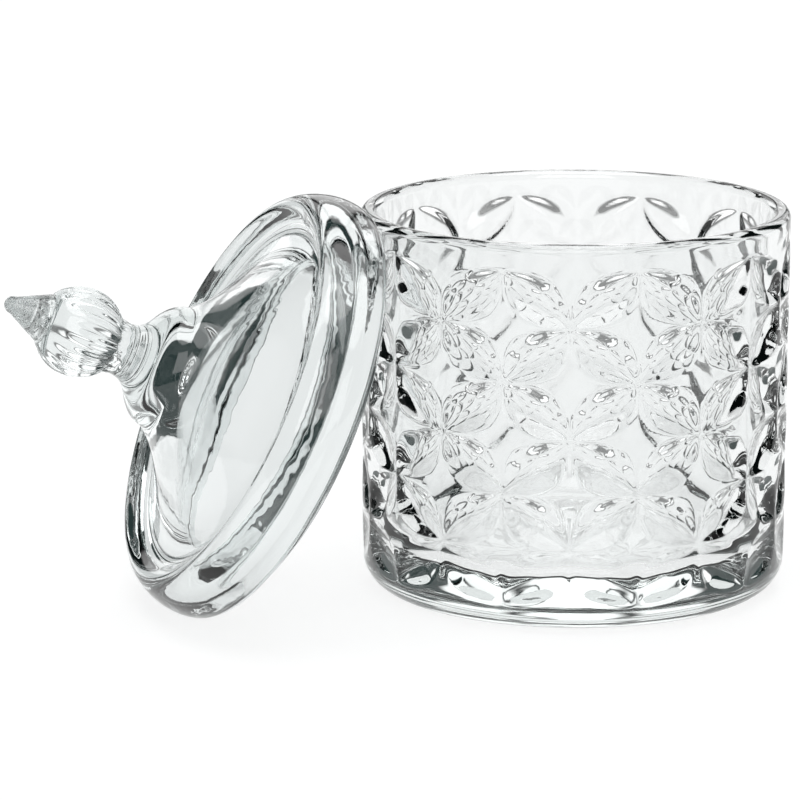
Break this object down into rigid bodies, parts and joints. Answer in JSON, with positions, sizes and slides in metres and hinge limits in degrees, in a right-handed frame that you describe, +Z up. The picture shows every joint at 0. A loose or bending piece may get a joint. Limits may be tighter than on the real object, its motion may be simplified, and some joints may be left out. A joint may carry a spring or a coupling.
{
  "type": "dappen dish",
  "caption": "Lidded clear pressed-glass dappen dish for nail liquids: a straight cup with a petal lattice and a domed cover with a fluted ball knob, leaning on it.",
  "frame": {"origin": "centre of the jar's flat underside, on the plane it stands on", "axes": "+Z up along the jar's axis; the lid leans on the jar from the -X side, its knob pointing up and away; -Y is the front"},
  "size_m": [0.1338, 0.0933, 0.0714],
  "materials": {
    "pressed_glass": "fire-polished clear glass"
  },
  "bodies": {
    "jar": {"jar": "pressed_glass"},
    "lid": {"lid": "pressed_glass"}
  },
  "joints": [
    {"name": "lid_lift", "type": "slide", "parent": "jar", "child": "lid", "axis": [-0.8508, -0.308, 0.4258], "range_m": [0, 0.12]}
  ]
}
